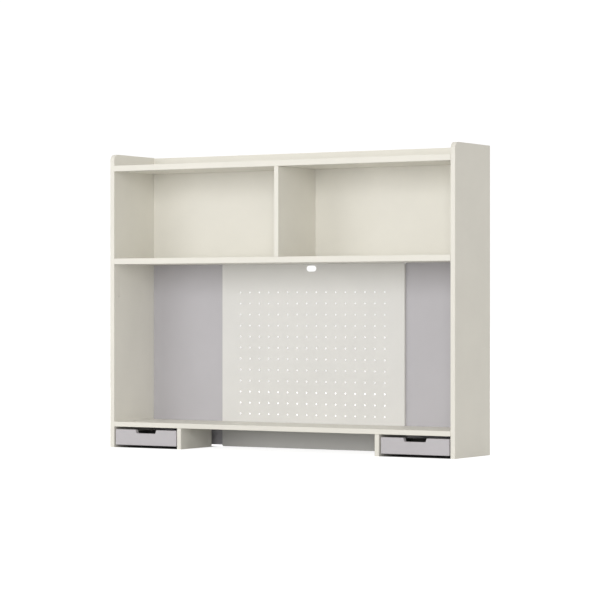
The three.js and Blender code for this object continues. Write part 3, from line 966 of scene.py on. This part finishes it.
class HUTCH_OT_slides(HutchOperator, bpy.types.Operator):
    """Roll the rails, runners and ball cages of the drawer slides"""

    bl_idname = "hutch.slides"
    bl_label = "Drawer Slides"

    def build(self, context):
        drawers, screws = settings("drawers"), settings("screws")
        for side in SIDES:
            for hand in SIDES:
                self.make_slide(side, hand, drawers, screws)

    def make_slide(self, side, hand, drawers, screws):
        """One slide of four pieces: rail, runner, cage with its balls, and the rail's screws."""
        name = f"{side}_drawer_{hand}_slide"
        rail, runner, cage = (f"{name}_{part}" for part in ("rail", "runner", "cage"))
        piece(f"{rail}_rolled", slide_member(rail, drawers.metal), zinc(), "root", [rail])
        shape = slide_member(runner, drawers.metal, mouth_near=True)
        piece(f"{runner}_rolled", shape, zinc(), f"{side}_drawer", [runner])
        strip = slide_member(cage, drawers.cage_metal)
        balls = cage_balls(side, hand, drawers, *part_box(cage))
        piece(f"{cage}_balls", gather([strip, balls]), zinc(), f"{side}_drawer_cages", [cage])
        piece(f"{name}_screws", rail_screws(side, hand, screws), zinc())


class HUTCH_OT_cam_locks(HutchOperator, bpy.types.Operator):
    """Give the cam locks their cast zinc and plated steel"""

    bl_idname = "hutch.cam_locks"
    bl_label = "Cam Locks"

    def build(self, context):
        cast = cast_finish("cast_zinc_housing", settings("finishes").cast)
        for board in SHELVES:
            for side in SIDES:
                for row in ("front", "rear"):
                    finish_node(f"{board}_{side}_{row}_cam", cast)
                    finish_node(f"{board}_{side}_{row}_bolt", zinc())


class HUTCH_OT_rear_screws(HutchOperator, bpy.types.Operator):
    """Drive the screws that hold the back panels to the boards"""

    bl_idname = "hutch.rear_screws"
    bl_label = "Rear Screws"

    def build(self, context):
        screws = settings("screws")
        for panel in ("upper_back_panel", *LILAC_PANELS):
            upper = panel == "upper_back_panel"
            low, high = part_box(panel)
            places = []
            for board in SHELVES[:2] if upper else SHELVES[1:]:
                places += self.row_along(board, low, high, screws)
            if upper:
                places += self.column_up("upper_divider", screws.spacing)
            self.drive(f"{panel}_screws", places, high.y, screws)

    def row_along(self, board, low, high, screws):
        """Screws in a level row into the rear edge of a board, as far as the panel covers it."""
        board_low, board_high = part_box(board)
        z = (max(board_low.z, low.z) + min(board_high.z, high.z)) / 2
        start, end = low.x + screws.row_end, high.x - screws.row_end
        count = max(2, math.ceil((end - start) / screws.spacing) + 1)
        return [(x, z) for x in np.linspace(start, end, count)]

    def column_up(self, board, spacing):
        """Screws in an upright row into the rear edge of a divider."""
        low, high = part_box(board)
        count = math.ceil((high.z - low.z) / spacing)
        gap = (high.z - low.z) / (count + 1)
        return [((low.x + high.x) / 2, low.z + gap * (k + 1)) for k in range(count)]

    def drive(self, name, places, rear, screws):
        """One group of heads that look to the rear, each turned by its own fixed angle."""
        head, faces = screw_shape(screws)
        parts = []
        for index, (x, z) in enumerate(places):
            angle = SCREW_TURN * index
            spun = head[:, :2] @ np.array([[math.cos(angle), math.sin(angle)],
                                           [-math.sin(angle), math.cos(angle)]])
            parts.append((np.stack([spun[:, 0] + x, head[:, 2] + rear, spun[:, 1] + z], 1), faces))
        piece(name, gather(parts), zinc())


class HUTCH_OT_stage(HutchOperator, bpy.types.Operator):
    """Lay the floor, hang the lights and set the camera"""

    bl_idname = "hutch.stage"
    bl_label = "Floor, Light and Camera"

    def build(self, context):
        stage = settings("stage")
        context.scene.view_settings.view_transform = "Standard"
        self.lay_floor(stage)
        self.light_sky(context, stage)
        target = (CAD_LOW + CAD_HIGH) / 2
        for name, power, place, size in LIGHTS:
            self.hang(name, getattr(stage, power), place, size, target)
        self.set_camera(context, stage)

    def lay_floor(self, stage):
        """A wide pale floor that looks white and throws back a share of the light. In the two drawer bays
        its glow is masked off, as painted shade. Its underside is clear, so that the object can be seen
        from below."""
        points = np.array([[-1, -1, 0], [1, -1, 0], [1, 1, 0], [-1, 1, 0]], float) * FLOOR_REACH
        mesh = bpy.data.meshes.new("floor")
        mesh.from_pydata(points.tolist(), [], [[0, 1, 2, 3]])
        floor = add_object("floor", mesh)
        mesh.materials.append(self.floor_material(stage))

    def floor_material(self, stage):
        """The camera sees the glowing floor, with its glow masked off in the drawer bays as painted shade,
        and all other light meets a plain diffuse one.
        """
        material, w, shader = start_material("pale_floor", Roughness=0.9, Specular_IOR_Level=0.1)
        bay_low, bay_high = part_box("right_drawer_divider")
        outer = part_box("right_side_panel")[0].x
        x, y, _ = w.parts(w.place())
        beside = w.math("ABSOLUTE", x)
        in_bay = w.times(w.fade(beside, bay_low.x, bay_high.x),
                         w.fade(beside, outer, outer + BAY_FADE, 1.0, 0.0))
        in_depth = w.times(w.fade(y, CAD_LOW.y, CAD_LOW.y + FRONT_FADE),
                           w.fade(y, CAD_HIGH.y - BAY_FADE, CAD_HIGH.y, 1.0, 0.0))
        # painted shade: a mask over the two drawer bays, where the floor's glow is taken away
        painted_bay_shade = w.times(in_bay, in_depth)
        grain = w.noise(w.place(), 40.0, 3.0)
        w.put(w.mix(w.fade(grain, 0.3, 0.7), rgba(stage.floor, 0.99), rgba(stage.floor)),
              shader.inputs["Base Color"])
        shader.inputs["Emission Strength"].default_value = stage.glow
        # no glow in the drawer bays: painted shade
        w.put(w.mix(painted_bay_shade, WHITE, BLACK), shader.inputs["Emission Color"])
        bounce = w.node("ShaderNodeBsdfDiffuse", {"Color": rgba([stage.bounce] * 3)})
        seen = w.node("ShaderNodeLightPath").outputs["Is Camera Ray"]
        above = w.node("ShaderNodeMixShader", {0: seen, 1: bounce.outputs[0], 2: shader.outputs[0]})
        clear = w.node("ShaderNodeBsdfTransparent")
        below = w.node("ShaderNodeNewGeometry").outputs["Backfacing"]
        choose = w.node("ShaderNodeMixShader", {0: below, 1: above.outputs[0], 2: clear.outputs[0]})
        w.put(choose.outputs[0], material.node_tree.nodes["Material Output"].inputs["Surface"])
        return material

    def light_sky(self, context, stage):
        """White behind everything, and a softer even light on the object."""
        world = bpy.data.worlds.new("studio")
        context.scene.world = world
        world.use_nodes = True
        w = Wiring(world.node_tree)
        world.node_tree.nodes.clear()
        seen = w.node("ShaderNodeLightPath").outputs["Is Camera Ray"]
        soft = w.node("ShaderNodeBackground", {"Color": rgba(stage.warmth), "Strength": stage.sky})
        white = w.node("ShaderNodeBackground", {"Color": WHITE, "Strength": BACKDROP})
        both = w.node("ShaderNodeMixShader", {0: seen, 1: soft.outputs[0], 2: white.outputs[0]})
        w.node("ShaderNodeOutputWorld", {"Surface": both.outputs[0]})

    def hang(self, name, power, place, size, target):
        """A square soft light that looks at the target."""
        light = bpy.data.lights.new(name, "AREA")
        light.energy, light.shape, light.size = power, "SQUARE", size
        lamp = add_object(name, light)
        lamp.location = place
        lamp.rotation_euler = (target - Vector(place)).to_track_quat("-Z", "Y").to_euler()

    def set_camera(self, context, stage):
        """A level camera, turned to the left, with its horizon a little under the middle."""
        camera = bpy.data.cameras.new("camera")
        camera.lens, camera.sensor_width, camera.clip_end = stage.lens, SENSOR, CLIP_END
        camera.shift_x, camera.shift_y = CAMERA_SHIFT
        holder = add_object("camera", camera)
        holder.location = CAMERA_PLACE
        holder.rotation_euler = (math.pi / 2, 0.0, stage.turn)
        context.scene.camera = holder


class HUTCH_PT_panel(bpy.types.Panel):
    """Sizes, colours and steps of the hutch"""

    bl_idname = "HUTCH_PT_panel"
    bl_label = "Desk Hutch"
    bl_space_type = "VIEW_3D"
    bl_region_type = "UI"
    bl_category = "Hutch"

    def draw(self, context):
        for group in GROUPS:
            box = self.layout.box()
            box.label(text=GROUPS[group].__name__)
            values = getattr(context.scene, group)
            for name in GROUPS[group].__annotations__:
                box.prop(values, name)
        for operator in OPERATORS:
            self.layout.operator(operator.bl_idname)


GROUPS = {
    "hutch_finishes": HutchFinishes,
    "hutch_pegboard": HutchPegboard,
    "hutch_drawers": HutchDrawers,
    "hutch_screws": HutchScrews,
    "hutch_stage": HutchStage,
}
OPERATORS = (
    HUTCH_OT_stage,
    HUTCH_OT_side_panels,
    HUTCH_OT_shelves,
    HUTCH_OT_dividers,
    HUTCH_OT_back_panels,
    HUTCH_OT_pegboard,
    HUTCH_OT_drawer_boxes,
    HUTCH_OT_drawer_fronts,
    HUTCH_OT_slides,
    HUTCH_OT_cam_locks,
    HUTCH_OT_rear_screws,
)


def register():
    for cls in (*GROUPS.values(), *OPERATORS, HUTCH_PT_panel):
        bpy.utils.register_class(cls)
    for name, cls in GROUPS.items():
        setattr(bpy.types.Scene, name, PointerProperty(type=cls))


def unregister():
    for name in GROUPS:
        delattr(bpy.types.Scene, name)
    for cls in reversed((*GROUPS.values(), *OPERATORS, HUTCH_PT_panel)):
        bpy.utils.unregister_class(cls)


def main():
    register()
    make_groups()
    for operator in OPERATORS:
        space, name = operator.bl_idname.split(".")
        getattr(getattr(bpy.ops, space), name)()


if __name__ == "__main__":
    main()
